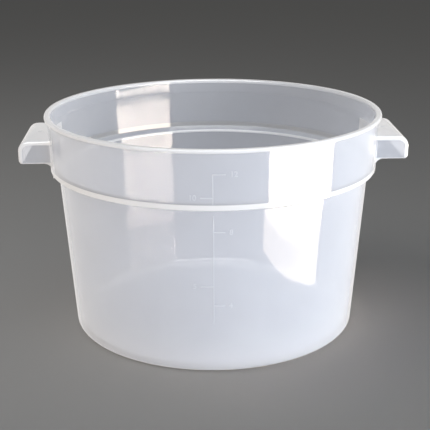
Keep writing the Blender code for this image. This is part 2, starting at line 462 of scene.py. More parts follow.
@dataclass(frozen=True)
class BodyPlastic(MilkyPlastic):
    """The body's plastic, whiter at the lip, the ledge and inside the handles, and whiter towards
    the
    foot: partly the thick foot corner and mostly painted light from the floor's bounce.

    A strip of painted shade lies inside the wall, in front of the ledge's white edge. It hides that
    edge from across the container, and its colour is dimmed so that it stays as dark as the shaded
    wall.
    """

    # Outside, whiter towards the foot: mostly painted light from the floor's bounce, partly the
    # thick foot corner.
    foot: Band = Band(0.0, 0.0600, 0.30)
    floor: Band = Band(0.1050, 0.1240, 0.40)
    corner: Band = Band(0.0030, 0.0090, 0.80)
    ledge: Band = Band(0.1552, 0.1600)
    step: Band = Band(0.1518, 0.1536)
    # The strip of painted shade inside the wall, and how far its colour is dimmed.
    painted_shade_strip: Band = Band(0.1572, 0.1612, 0.90)
    painted_shade_tone: float = 0.50
    seat: Band = Band(0.1680, 0.1885)
    seat_half: float = 0.0400
    lip_low: float = 0.2040
    lip_share: float = 0.85
    soft_edge: float = 0.0005
    wall_middles: tuple[float, float] = (0.1346, 0.14606)
    band_middles: tuple[float, float] = (0.1534, 0.1552)
    ledge_heights: tuple[float, float] = (0.1523, 0.1555)

    def outside(self, bench: SurfaceBench) -> Socket:
        """Tell the wall's outer side from its inner side.

        Args:
            bench: The material's tree.

        Returns:
            1 outside the middle of the wall's thickness and 0 inside it.
        """
        low, high = self.ledge_heights
        (foot, top), (band_foot, band_top) = self.wall_middles, self.band_middles
        wall = bench.span(bench.height, 0.0, low, foot, top)
        step = bench.span(bench.height, low, high, 0.0, band_foot - top)
        band = bench.span(bench.height, high, self.lip_low, 0.0, band_top - band_foot)
        middle = bench.calc("ADD", bench.calc("ADD", wall, step), band)
        return bench.calc("GREATER_THAN", bench.reach, middle)

    def ring(self, bench: SurfaceBench, band: Band) -> Socket:
        """Return 1 between a band's heights, fading out over the soft edge.

        Args:
            bench: The material's tree.
            band: The band.

        Returns:
            The ring's socket.
        """
        below = bench.span(bench.height, band.low - self.soft_edge, band.low)
        above = bench.span(bench.height, band.high, band.high + self.soft_edge, 1.0, 0.0)
        return bench.times(below, above)

    def inner_corner(self, bench: SurfaceBench) -> Socket:
        """Return how thick the rounded corner inside the floor's edge looks.

        Args:
            bench: The material's tree.

        Returns:
            The share's socket.
        """
        low, edge = self.floor.low, self.floor.high
        floor = bench.span(bench.reach, low, edge, 0.0, self.floor.share, soft=True)
        wall = bench.span(bench.reach, edge - self.soft_edge, edge, 0.0, self.corner.share)
        fade = bench.span(bench.height, self.corner.low, self.corner.high, 1.0, 0.0, soft=True)
        return bench.times(bench.highest(floor, wall), fade)

    def look(self, bench: SurfaceBench) -> Look:
        """Return how the plastic looks, by height and by side of the wall.

        Args:
            bench: The material's tree.

        Returns:
            The look, thick where the moulding is.
        """
        height = bench.height
        outside = self.outside(bench)
        inside = bench.minus(1.0, outside)
        along = bench.calc("ABSOLUTE", bench.axes[1])
        beside = bench.span(along, self.seat_half - self.soft_edge, self.seat_half, 1.0, 0.0)
        # The strip of painted shade: inside faces at the strip's heights.
        painted_shade_strip = bench.times(inside, self.ring(bench, self.painted_shade_strip))
        # Whiter towards the foot: mostly painted light from the floor's bounce, partly the thick
        # foot corner.
        foot = bench.span(height, self.foot.low, self.foot.high, self.foot.share, 0.0, soft=True)
        bands = ((outside, self.ledge), (inside, self.step), (beside, self.seat))
        rings = [bench.times(bench.times(face, self.ring(bench, band)), band.share)
                 for face, band in bands]
        thick = bench.highest(
            bench.span(height, self.lip_low, self.lip_low + self.soft_edge, 0.0, self.lip_share),
            *rings, bench.times(painted_shade_strip, self.painted_shade_strip.share), bench.times(outside, foot),
            bench.times(inside, self.inner_corner(bench)))
        # The strip's colour is dimmed here: painted shade.
        return Look(thick, outside, bench.span(painted_shade_strip, 0.0, 1.0, 1.0, self.painted_shade_tone))


@dataclass(frozen=True)
class HandlePlastic(MilkyPlastic):
    """The handles' plastic, white along the webs' edges and where it runs into the wall."""

    plate_height: float = 0.1882
    face_reach: float = 0.1802
    foot_height: float = 0.1666
    nose: float = 0.0095
    top_band: float = 0.0040
    side_band: float = 0.0044
    foot_band: float = 0.0009
    foot_share: float = 0.8
    plate_share: float = 0.85
    half_width: float = 0.0400
    web_depth: float = 0.0026
    root_radius: float = 0.1553
    root_share: float = 0.80
    soft_edge: float = 0.0009

    def look(self, bench: SurfaceBench) -> Look:
        """Return how the plastic looks, by the distance from the handle's own outline.

        Args:
            bench: The material's tree.

        Returns:
            The look, thick along the outline.
        """
        x, y, height = bench.axes
        from_face = bench.minus(self.face_reach, bench.calc("ABSOLUTE", x))
        side_gap = bench.times(from_face, self.top_band / self.side_band)
        top_gap = bench.minus(self.plate_height, height)
        reach = bench.length(*[bench.highest(bench.minus(self.nose, gap), 0.0)
                               for gap in (side_gap, top_gap)])
        outer = bench.span(bench.minus(self.nose, reach), self.top_band - self.soft_edge,
                           self.top_band, 1.0, 0.0, soft=True)
        web = self.half_width - self.web_depth
        edge = bench.span(bench.calc("ABSOLUTE", y), web - self.soft_edge, web,
                          self.plate_share, 1.0)
        foot = bench.span(bench.minus(height, self.foot_height), self.foot_band,
                          self.foot_band + self.soft_edge, self.foot_share, 0.0)
        root = bench.span(bench.reach, self.root_radius, self.root_radius + self.soft_edge,
                          self.root_share, 0.0)
        return Look(bench.highest(bench.times(outer, edge), foot, root))


@dataclass(frozen=True)
class RaisedPlastic(MilkyPlastic):
    """The plastic of the raised scale and the plates' pips, a little whiter than the wall."""

    share: float = 0.12

    def look(self, bench: SurfaceBench) -> Look:
        """Return the same look everywhere."""
        return Look(self.share)


def new_object(name: str, data: bpy.types.ID) -> bpy.types.Object:
    """Link a new object to the scene.

    Args:
        name: The object's name.
        data: Its mesh, curve, lamp or camera.

    Returns:
        The object, at the origin.
    """
    made = bpy.data.objects.new(name, data)
    bpy.context.scene.collection.objects.link(made)
    return made


def pour(bm: bmesh.types.BMesh, mesh: bpy.types.Mesh) -> bpy.types.Mesh:
    """Fill a mesh from a bmesh, with merged doubles and outward faces.

    Args:
        bm: The bmesh, which is freed.
        mesh: The mesh to fill.

    Returns:
        The mesh.
    """
    bmesh.ops.remove_doubles(bm, verts=bm.verts, dist=WELD_DISTANCE)
    bmesh.ops.recalc_face_normals(bm, faces=bm.faces)
    bm.to_mesh(mesh)
    bm.free()
    return mesh


def settle(made: bpy.types.Object) -> None:
    """Turn an object with modifiers into a plain mesh with outward faces.

    Args:
        made: The object, whose modifiers are removed.
    """
    graph = bpy.context.evaluated_depsgraph_get()
    mesh = bpy.data.meshes.new_from_object(made.evaluated_get(graph), depsgraph=graph)
    made.modifiers.clear()
    made.data = mesh
    bm = bmesh.new()
    bm.from_mesh(mesh)
    pour(bm, mesh)


def run_tree(made: bpy.types.Object, tree: bpy.types.NodeTree,
             inputs: Mapping[str, object]) -> None:
    """Run a Geometry Nodes tree on an object and keep the result as its plain mesh.

    Args:
        made: The object.
        tree: The tree.
        inputs: The tree's inputs by name, each of which is set by its socket's identifier.
    """
    modifier = made.modifiers.new(tree.name, "NODES")
    modifier.node_group = tree
    for item in tree.interface.items_tree:
        if item.item_type == "SOCKET" and item.in_out == "INPUT" and item.name in inputs:
            modifier[item.identifier] = inputs[item.name]
    settle(made)


def seat(piece: bpy.types.Object, slot: Slot, sharp_angle: float, nodes: Sequence[str] = (),
         finish: MilkyPlastic | None = None) -> None:
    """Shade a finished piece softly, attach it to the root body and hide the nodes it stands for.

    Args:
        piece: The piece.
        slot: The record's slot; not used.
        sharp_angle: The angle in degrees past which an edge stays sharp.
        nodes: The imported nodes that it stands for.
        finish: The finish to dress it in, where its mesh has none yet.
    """
    if finish:
        piece.data.materials.clear()
        piece.data.materials.append(finish.material())
    piece.data.shade_smooth()
    piece.data.set_sharp_from_angle(angle=math.radians(sharp_angle))
    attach(piece, ROOT_BODY)
    if nodes:
        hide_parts(*nodes)
    log.info("%s: %d faces", piece.name, len(piece.data.polygons))


def geometry_tree(name: str, inputs: Mapping[str, str]) -> tuple[NodeBench, Mapping[str, Socket]]:
    """Start a Geometry Nodes tree with named inputs and one geometry output.

    Args:
        name: The tree's name.
        inputs: Each input's name and kind.

    Returns:
        The tree's bench and the sockets that give its inputs.
    """
    tree = bpy.data.node_groups.new(name, "GeometryNodeTree")
    for title, kind in inputs.items():
        tree.interface.new_socket(name=title, in_out="INPUT", socket_type="NodeSocket" + kind)
    tree.interface.new_socket(name="Geometry", in_out="OUTPUT", socket_type="NodeSocketGeometry")
    bench = NodeBench(tree)
    given = bench.add("NodeGroupInput")
    return bench, {title: given.outputs[title] for title in inputs}


def finish_tree(bench: NodeBench, shape: Socket, finish: Socket) -> bpy.types.NodeTree:
    """End a tree in Realize Instances and Set Material.

    Args:
        bench: The tree.
        shape: The geometry so far.
        finish: The material's socket.

    Returns:
        The finished tree.
    """
    real = bench.add("GeometryNodeRealizeInstances", {0: shape}).outputs[0]
    dressed = bench.add("GeometryNodeSetMaterial", {"Geometry": real, "Material": finish})
    bench.add("NodeGroupOutput", {0: dressed.outputs[0]})
    return bench.tree


def turning_tree() -> bpy.types.NodeTree:
    """Build the tree that turns an outline once about Z.

    A sheet has a column of points for each step of the turn and a row for each of the outline's
    points. Each of its points goes to its row's place on the outline, turned by its column.

    Returns:
        The tree, with inputs for the outline, the number of steps and the finish.
    """
    bench, given = geometry_tree(
        "turned_from_outline", {"Outline": "Geometry", "Steps": "Int", "Finish": "Material"})
    outline, steps = given["Outline"], given["Steps"]
    size = bench.add("GeometryNodeAttributeDomainSize", {0: outline}, component="MESH")
    rows = size.outputs["Point Count"]
    sheet = bench.add("GeometryNodeMeshGrid", {
        "Vertices X": bench.calc("ADD", steps, 1.0), "Vertices Y": rows})
    # Half a point more, so that rounding can't put the first point of a column in the one before.
    index = bench.add("GeometryNodeInputIndex").outputs[0]
    column = bench.calc("FLOOR", bench.calc("DIVIDE", bench.calc("ADD", index, 0.5), rows))
    row = bench.minus(index, bench.times(column, rows))
    angle = bench.times(bench.calc("DIVIDE", column, steps), math.tau)
    place = bench.add("GeometryNodeInputPosition").outputs[0]
    pick = bench.add("GeometryNodeSampleIndex", {"Geometry": outline, "Value": place, "Index": row},
                     data_type="FLOAT_VECTOR", domain="POINT")
    across, _, height = bench.parts(pick.outputs[0])
    spot = bench.add("ShaderNodeCombineXYZ", {
        "X": bench.times(across, bench.calc("SINE", angle)),
        "Y": bench.times(across, bench.calc("COSINE", angle)), "Z": height}).outputs[0]
    turned = bench.add("GeometryNodeSetPosition", {
        "Geometry": sheet.outputs["Mesh"], "Position": spot}).outputs[0]
    welded = bench.add("GeometryNodeMergeByDistance", {
        "Geometry": turned, "Distance": WELD_DISTANCE}).outputs[0]
    return finish_tree(bench, welded, given["Finish"])


def copying_tree() -> bpy.types.NodeTree:
    """Build the tree that sets one shape at every point of a mesh.

    Each point carries a vector "turn" in radians and a vector "stretch".

    Returns:
        The tree, with inputs for the points, the shape and the finish.
    """
    bench, given = geometry_tree(
        "shape_at_each_point", {"Points": "Geometry", "Shape": "Object", "Finish": "Material"})
    shape = bench.add("GeometryNodeObjectInfo", {"Object": given["Shape"]}).outputs["Geometry"]
    turn, stretch = [
        bench.add("GeometryNodeInputNamedAttribute", {"Name": title},
                  data_type="FLOAT_VECTOR").outputs["Attribute"] for title in ("turn", "stretch")]
    spin = bench.add("FunctionNodeEulerToRotation", {0: turn}).outputs[0]
    copies = bench.add("GeometryNodeInstanceOnPoints", {
        "Points": given["Points"], "Instance": shape, "Rotation": spin, "Scale": stretch})
    return finish_tree(bench, copies.outputs[0], given["Finish"])


def turn_outline(name: str, points: Sequence[Vector], steps: int,
                 finish: MilkyPlastic | None = None) -> bpy.types.Object:
    """Turn an outline once about the axis into a plain mesh.

    Args:
        name: The object's name.
        points: The outline's points, as (out from the axis, height).
        steps: The number of steps in the turn.
        finish: The finish to dress it in.

    Returns:
        The object.
    """
    mesh = bpy.data.meshes.new(name)
    edges = [(index, index + 1) for index in range(len(points) - 1)]
    mesh.from_pydata([(point.x, 0.0, point.y) for point in points], edges, [])
    made = new_object(name, mesh)
    inputs = {"Steps": steps}
    if finish:
        inputs["Finish"] = finish.material()
    run_tree(made, turning_tree(), inputs)
    return made


@dataclass(frozen=True)
class Spot:
    """Where a repeated shape stands, how it is turned and how it is stretched."""

    place: Vector
    turn: Vector
    stretch: Vector


def repeat_shape(name: str, shape: bpy.types.Mesh, spots: Sequence[Spot],
                 finish: MilkyPlastic) -> bpy.types.Object:
    """Set a shape at every spot and turn the result into one plain piece.

    Args:
        name: The piece's name.
        shape: The shape's mesh.
        spots: Where the copies go.
        finish: The copies' finish.

    Returns:
        The piece.
    """
    points = bpy.data.meshes.new(name)
    points.from_pydata([spot.place for spot in spots], [], [])
    for title in ("turn", "stretch"):
        layer = points.attributes.new(title, "FLOAT_VECTOR", "POINT")
        for index, spot in enumerate(spots):
            layer.data[index].vector = getattr(spot, title)
    pattern = new_object(name + "_pattern", shape)
    made = new_object(name, points)
    run_tree(made, copying_tree(), {"Shape": pattern, "Finish": finish.material()})
    bpy.data.objects.remove(pattern)
    return made


@dataclass
class TubBody:
    """The container's body, turned from one outline."""

    height: float = 0.2079
    wall: float = 0.0026
    rim_radius: float = 0.15875
    lip_width: float = 0.0058
    lip_height: float = 0.0036
    lip_overhang: float = 0.00225
    lip_top_rounding: float = 0.0018
    lip_foot_rounding: float = 0.0012
    collar_height: float = 0.0103
    collar_extra: float = 0.0004
    band_height: float = 0.0524
    band_taper: float = 0.0018
    ledge_step: float = 0.0071
    ledge_fall: float = 0.0032
    ledge_thickness: float = 0.0022
    ledge_rounding: float = 0.0012
    base_radius: float = 0.1359
    floor_thickness: float = 0.0026
    floor_recess: float = 0.0008
    foot_width: float = 0.0060
    foot_rounding: float = 0.0050
    floor_corner: float = 0.0090
    small_rounding: float = 0.0004
    steps: int = 256
    support_margin: float = 0.0004
    longest_run: float = 0.0120
    sharp_angle: float = 60.0
    finish: BodyPlastic = BodyPlastic("body_plastic")
    replaced: tuple[str, ...] = (
        "base_floor", "foot_ring", "lower_wall", "stacking_ledge", "upper_band", "rim")

    @property
    def ledge_underside(self) -> float:
        """Height of the ledge's outer edge."""
        return self.height - self.band_height

    @property
    def lip_underside(self) -> float:
        """Height of the lip's lower edge."""
        return self.height - self.lip_height

    @property
    def band_top_radius(self) -> float:
        """Outer radius of the band under the lip."""
        return self.rim_radius - self.lip_overhang

    @property
    def band_foot_radius(self) -> float:
        """Outer radius of the band at the ledge."""
        return self.band_top_radius - self.band_taper

    @property
    def ledge_foot(self) -> float:
        """Height at which the sloping ledge meets the lower wall."""
        return self.ledge_underside - self.ledge_fall

    def wall_radius(self, height: float) -> float:
        """Return the lower wall's outer radius at a height."""
        rise = self.band_foot_radius - self.ledge_step - self.base_radius
        return self.base_radius + rise * height / self.ledge_underside

    def band_radius(self, height: float) -> float:
        """Return the band's outer radius at a height."""
        share = (height - self.ledge_underside) / (self.lip_underside - self.ledge_underside)
        return self.band_foot_radius + self.band_taper * share

    def ledge_height(self, radius: float) -> float:
        """Return the height of the ledge's sloping underside at a radius."""
        run = self.band_foot_radius - self.wall_radius(self.ledge_foot)
        return self.ledge_underside - self.ledge_fall * (self.band_foot_radius - radius) / run

    def outer_corners(self) -> list[Corner]:
        """Draw the outline's outer side.

        Returns:
            Its corners, from the axis under the floor up to the lip.
        """
        foot_inner = self.base_radius - self.foot_rounding - self.foot_width
        small = self.small_rounding
        return [
            Corner(0.0, self.floor_recess),
            Corner(foot_inner - self.floor_recess, self.floor_recess, small),
            Corner(foot_inner, 0.0, small),
            Corner(self.base_radius, 0.0, self.foot_rounding),
            Corner(self.wall_radius(self.ledge_foot), self.ledge_foot, small),
            Corner(self.band_foot_radius, self.ledge_underside, self.ledge_rounding),
            Corner(self.band_top_radius, self.lip_underside, small),
            Corner(self.rim_radius, self.lip_underside, self.lip_foot_rounding),
            Corner(self.rim_radius, self.height, self.lip_top_rounding),
        ]

    def inner_corners(self) -> list[Corner]:
        """Draw the outline's inner side.

        Returns:
            Its corners, from the lip down to the axis on the floor.
        """
        lip_inner = self.rim_radius - self.lip_width
        collar_foot = self.lip_underside - self.collar_height
        collar = self.wall + self.collar_extra
        floor_top = self.floor_recess + self.floor_thickness
        small = self.small_rounding / 2
        edges = (self.band_foot_radius - self.wall, self.wall_radius(self.ledge_foot) - self.wall)
        ledge = [Corner(radius, self.ledge_height(radius) + self.ledge_thickness,
                        self.ledge_rounding) for radius in edges]
        return [
            Corner(lip_inner, self.height, self.lip_top_rounding),
            Corner(lip_inner, self.lip_underside + self.lip_foot_rounding, small),
            Corner(self.band_radius(self.lip_underside) - collar, self.lip_underside, small),
            Corner(self.band_radius(collar_foot) - collar, collar_foot, small),
            Corner(self.band_radius(collar_foot) - self.wall, collar_foot - small, small / 2),
            *ledge,
            Corner(self.wall_radius(floor_top) - self.wall, floor_top, self.floor_corner),
            Corner(0.0, floor_top),
        ]

    def build(self) -> None:
        """Turn the body and attach it to the root body."""
        points = rounded_outline(self.outer_corners() + self.inner_corners(), closed=False)
        points = with_supports(points, self.support_margin, self.longest_run)
        body = turn_outline("tub_body", points, self.steps, self.finish)
        seat(body, Slot.THIN, self.sharp_angle, self.replaced)


@dataclass
class Handle:
    """One hollow handle, open underneath: plate, outer lip and two webs."""

    side: Side
    body: TubBody
    width: float = 0.0800
    reach: float = 0.02145
    drop: float = 0.0197
    depth: float = 0.0216
    plate: float = 0.0026
    lip: float = 0.0030
    web: float = 0.0022
    nose: float = 0.0095
    foot_rounding: float = 0.0035
    root_rounding: float = 0.0080
    edge_rounding: float = 0.0026
    hollow_rounding: float = 0.0006
    end_step: float = math.radians(13.5)
    overrun: float = 0.0060
    seating: float = 0.0022
    sharp_angle: float = 35.0
    finish: HandlePlastic = HandlePlastic("handle_plastic")

    def end_rings(self, corners: Sequence[Corner], half: float,
                  rounding: float) -> list[list[Vector]]:
        """Return an outline's rings along the handle's length, drawn in towards both ends.

        Args:
            corners: The outline's corners, as (out from the axis, height).
            half: Half of the length.
            rounding: The radius that joins the outline's side to its flat ends.

        Returns:
            Rings of points, from one end to the other.
        """
        points = rounded_outline(corners, closed=True)
        inward = []
        for index, point in enumerate(points):
            along = (points[(index + 1) % len(points)] - points[index - 1]).normalized()
            inward.append(Vector((-along.y, along.x)))
        area = sum(points[index - 1].cross(point) for index, point in enumerate(points))
        sign = 1.0 if area > 0 else -1.0
        count = max(2, math.ceil(math.pi / 2 / self.end_step))
        angles = [math.pi / 2 * index / count for index in range(count + 1)]
        end = [(half - rounding * (1 - math.cos(angle)), rounding * (1 - math.sin(angle)))
               for angle in angles]
        return [[Vector((point.x + sign * side.x * draw, along, point.y + sign * side.y * draw))
                 for point, side in zip(points, inward)]
                for along, draw in [(-along, draw) for along, draw in end] + end[::-1]]

    def solid(self, name: str, rings: Sequence[Sequence[Vector]]) -> bpy.types.Object:
        """Return a closed solid skinned over rings, turned to the handle's side.

        Args:
            name: The object's name.
            rings: The rings from one end to the other.

        Returns:
            The solid.
        """
        bm = bmesh.new()
        loops = [[bm.verts.new(point) for point in ring] for ring in rings]
        for low, high in zip(loops, loops[1:]):
            for index in range(len(low)):
                bm.faces.new((low[index - 1], low[index], high[index], high[index - 1]))
        bm.faces.new(loops[0])
        bm.faces.new(loops[-1])
        bm.transform(Matrix.Rotation(0.0 if self.side is Side.RIGHT else math.pi, 4, "Z"))
        return new_object(name, pour(bm, bpy.data.meshes.new(name)))

    def body_corners(self) -> list[Corner]:
        """Draw the handle's outer form, running into the band.

        Returns:
            Its corners.
        """
        top = self.body.height - self.drop
        foot = top - self.depth
        face = self.body.rim_radius + self.reach
        root = math.sqrt(self.body.band_foot_radius ** 2 - (self.width / 2) ** 2)
        tail = foot - self.root_rounding - self.overrun
        inside = root - self.overrun
        return [
            Corner(inside, top),
            Corner(face, top, self.nose),
            Corner(face, foot, self.foot_rounding),
            Corner(root, foot, self.root_rounding),
            Corner(root, tail),
            Corner(inside, tail),
        ]

    def hollow_corners(self) -> list[Corner]:
        """Draw the space under the plate.

        Returns:
            Its corners.
        """
        outer = self.body_corners()
        inside = outer[0].across - self.overrun
        ceiling = outer[0].height - self.plate
        face = outer[1].across - self.lip
        tail = outer[4].height - self.overrun
        return [
            Corner(inside, ceiling),
            Corner(face, ceiling, self.nose - self.plate),
            Corner(face, tail),
            Corner(inside, tail),
        ]

    def band_cutter(self) -> bpy.types.Object:
        """Build the solid that trims the handle inside the band's wall.

        Returns:
            The solid.
        """
        low = self.hollow_corners()[2].height - self.overrun
        high = self.body.height
        outline = [Vector((0.0, low)), Vector((self.body.band_radius(low) - self.seating, low)),
                   Vector((self.body.band_radius(high) - self.seating, high)), Vector((0.0, high))]
        return turn_outline("band_cutter", outline, self.body.steps)

    def build(self) -> None:
        """Cut the handle from its solids and attach it to the root body."""
        name = "handle_" + self.side.name.lower()
        half = self.width / 2
        shell = self.end_rings(self.body_corners(), half, self.edge_rounding)
        space = self.end_rings(self.hollow_corners(), half - self.web, self.hollow_rounding)
        handle = self.solid(name + "_shell", shell)
        cutters = (self.solid(name + "_hollow", space), self.band_cutter())
        for cutter in cutters:
            cut = handle.modifiers.new(cutter.name, "BOOLEAN")
            cut.operation = "DIFFERENCE"
            cut.object = cutter
        settle(handle)
        for cutter in cutters:
            bpy.data.objects.remove(cutter)
        seat(handle, Slot.THIN, self.sharp_angle, [name], self.finish)


class Wall(Enum):
    """The two walls that carry the scale."""

    LOWER = "lower wall"
    BAND = "upper band"


@dataclass(frozen=True)
class Mark:
    """A mark of the scale: its number, its side, its wall and its share of the wall's height."""

    number: int
    side: Side
    wall: Wall
    share: float


@dataclass
class MeasuringScale:
    """The raised scale: a stem on each wall, marks on both sides of it and a number by each."""

    body: TubBody
    relief: float = 0.0004
    sink: float = 0.0002
    mark_thickness: float = 0.0009
    stem_width: float = 0.0008
    wall_stem_place: float = -0.0056
    band_stem_place: float = -0.0066
    quart_end: float = 0.0041
    litre_end: float = -0.0167
    edge_rounding: float = 0.00018
    bar_rounding: float = 0.25
    bar_segments: int = 3
    number_height: float = 0.0046
    number_gap: float = 0.0034
    number_relief: float = 0.00025
    cap_share: float = 0.70
    curve_steps: int = 6
    sharp_angle: float = 40.0
    stems: tuple[tuple[Wall, float, float], ...] = (
        (Wall.LOWER, 0.308, 0.956), (Wall.BAND, 0.096, 0.600))
    marks: tuple[Mark, ...] = (
        Mark(4, Side.RIGHT, Wall.LOWER, 0.420), Mark(8, Side.RIGHT, Wall.LOWER, 0.859),
        Mark(5, Side.LEFT, Wall.LOWER, 0.537), Mark(12, Side.RIGHT, Wall.BAND, 0.592),
        Mark(10, Side.LEFT, Wall.BAND, 0.206))
    finish: RaisedPlastic = RaisedPlastic("raised_plastic")
    replaced: tuple[str, ...] = (
        "lower_stem", "upper_stem", "mark_4_quarts", "mark_8_quarts", "mark_12_quarts",
        "mark_5_litres", "mark_10_litres")

    def level(self, wall: Wall, share: float) -> float:
        """Return the height at a share of a wall's height."""
        rise = self.body.ledge_underside
        return rise * share if wall is Wall.LOWER else rise + self.body.band_height * share

    def stem_place(self, height: float) -> float:
        """Return how far right of the front's middle the stem stands at a height."""
        return self.wall_stem_place if height < self.body.ledge_underside else self.band_stem_place

    def mark_end(self, mark: Mark) -> float:
        """Return how far right of the front's middle a mark's far end lies."""
        return self.quart_end if mark.side is Side.RIGHT else self.litre_end

    def radius(self, height: float) -> float:
        """Return the outer radius of the wall that carries the scale at a height."""
        body = self.body
        return (body.wall_radius if height < body.ledge_underside else body.band_radius)(height)

    def lean(self, height: float) -> float:
        """Return how far the wall leans out from upright at a height, in radians."""
        step = self.stem_width
        return math.atan2(self.radius(height + step) - self.radius(height), step)

    def spot(self, along: float, height: float, stretch: Vector) -> Spot:
        """Return a spot on the front wall.

        Args:
            along: The distance along the wall, to the right of the front.
            height: The height.
            stretch: The shape's length, relief and thickness there.

        Returns:
            The spot, with the shape's back sunk in the wall.
        """
        radius = self.radius(height) + self.relief / 2 - self.sink / 2
        angle = along / radius
        turn = Vector((self.lean(height), 0.0, angle))
        return Spot(round_axis(radius, angle, height), turn, stretch)

    def bar(self) -> bpy.types.Mesh:
        """Build a bar of one unit each way, with rounded long edges once it is stretched.

        Returns:
            The bar's mesh.
        """
        bm = bmesh.new()
        bmesh.ops.create_cube(bm, size=1.0)
        front = [edge for edge in bm.edges if max(vert.co.y for vert in edge.verts) < 0]
        bmesh.ops.bevel(bm, geom=front, offset=self.bar_rounding, segments=self.bar_segments,
                        profile=0.5, affect="EDGES")
        return pour(bm, bpy.data.meshes.new("scale_bar"))

    def build_lines(self) -> None:
        """Set the stems and the marks on the walls."""
        relief = self.relief + self.sink
        spots = []
        for wall, start, end in self.stems:
            low, high = self.level(wall, start), self.level(wall, end)
            stretch = Vector((self.stem_width, relief, high - low))
            spots.append(self.spot(self.stem_place(low), (low + high) / 2, stretch))
        for mark in self.marks:
            height = self.level(mark.wall, mark.share)
            near, far = self.stem_place(height), self.mark_end(mark)
            stretch = Vector((abs(far - near), relief, self.mark_thickness))
            spots.append(self.spot((near + far) / 2, height, stretch))
        lines = repeat_shape("scale_lines", self.bar(), spots, self.finish)
        seat(lines, Slot.SCALE, self.sharp_angle, self.replaced)

    def number_mesh(self, mark: Mark) -> bpy.types.Mesh:
        """Return a mark's number as a mesh that hugs the wall.

        Args:
            mark: The mark.

        Returns:
            The number's mesh, in place.
        """
        curve = bpy.data.curves.new("number", "FONT")
        curve.body = str(mark.number)
        curve.size = self.number_height / self.cap_share
        curve.align_x = "LEFT" if mark.side is Side.RIGHT else "RIGHT"
        curve.align_y = "CENTER"
        curve.extrude = (self.number_relief + self.sink) / 2
        curve.bevel_depth = self.edge_rounding / 2
        curve.resolution_u = self.curve_steps
        holder = new_object("number", curve)
        mesh = bpy.data.meshes.new_from_object(holder)
        bpy.data.objects.remove(holder)
        start = self.mark_end(mark) + mark.side.value * self.number_gap
        for vert in mesh.vertices:
            height = self.level(mark.wall, mark.share) + vert.co.y
            radius = self.radius(height) + vert.co.z + (self.number_relief - self.sink) / 2
            angle = (start + vert.co.x) / self.radius(height)
            vert.co = round_axis(radius, angle, height)
        return mesh

    def build(self) -> None:
        """Set the lines on the walls and the number beside each mark."""
        self.build_lines()
        bm = bmesh.new()
        for mark in self.marks:
            bm.from_mesh(self.number_mesh(mark))
        numbers = new_object("scale_numbers", pour(bm, bpy.data.meshes.new("scale_numbers")))
        seat(numbers, Slot.SCALE, self.sharp_angle, finish=self.finish)


@dataclass
class PlatePips:
    """The small round pip moulded on each handle's plate."""

    body: TubBody
    out: float = 0.1637
    radius: float = 0.0026
    rise: float = 0.0004
    sink: float = 0.00005
    rings: int = 10
    facets: int = 32
    sharp_angle: float = 50.0
    finish: RaisedPlastic = RaisedPlastic("pip_plastic", share=0.5)

    def dome(self) -> bpy.types.Mesh:
        """Build a low dome of one unit radius and height.

        Returns:
            The dome's mesh, closed underneath.
        """
        bm = bmesh.new()
        bmesh.ops.create_uvsphere(bm, u_segments=self.facets, v_segments=self.rings, radius=1.0)
        low = [vert for vert in bm.verts if vert.co.z < -WELD_DISTANCE]
        bmesh.ops.delete(bm, geom=low, context="VERTS")
        rim = [edge for edge in bm.edges if edge.is_boundary]
        bmesh.ops.contextual_create(bm, geom=rim)
        return pour(bm, bpy.data.meshes.new("pip"))

    def build(self) -> None:
        """Set one pip on each plate, its foot sunk a little."""
        top = self.body.height - Handle.drop - self.sink
        stretch = Vector((self.radius, self.radius, self.rise))
        spots = [Spot(Vector((side.value * self.out, 0.0, top)), Vector((0, 0, 0)), stretch)
                 for side in Side]
        pips = repeat_shape("plate_pips", self.dome(), spots, self.finish)
        seat(pips, Slot.THIN, self.sharp_angle)


def direction(azimuth: float, elevation: float) -> Vector:
    """Return the unit vector towards an azimuth, to the right of the front, and an elevation.

    Args:
        azimuth: The azimuth in degrees.
        elevation: The elevation in degrees.

    Returns:
        The vector.
    """
    rise = math.radians(elevation)
    return round_axis(math.cos(rise), math.radians(azimuth), math.sin(rise))


@dataclass(frozen=True)
class StudioLamp:
    """A soft rectangular lamp that shines at the container's middle, its angles in degrees."""

    name: str
    azimuth: float
    elevation: float
    distance: float
    size: tuple[float, float]
    power: float
    colour: Colour
    spares_floor: bool = False
    aim: Vector = Vector((0.0, 0.0, 0.10))

    def build(self, pieces: bpy.types.Collection) -> None:
        """Set up the lamp, hidden from reflections, which the cards give.

        Args:
            pieces: The container's pieces, which a lamp that spares the floor lights alone.
        """
        data = bpy.data.lights.new(self.name, "AREA")
        data.shape = "RECTANGLE"
        data.size, data.size_y = self.size
        data.energy = self.power
        data.color = self.colour
        lamp = new_object(self.name, data)
        towards = direction(self.azimuth, self.elevation)
        lamp.location = self.aim + towards * self.distance
        lamp.rotation_euler = towards.to_track_quat("Z", "Y").to_euler()
        lamp.visible_glossy = False
        if self.spares_floor:
            lamp.light_linking.receiver_collection = pieces


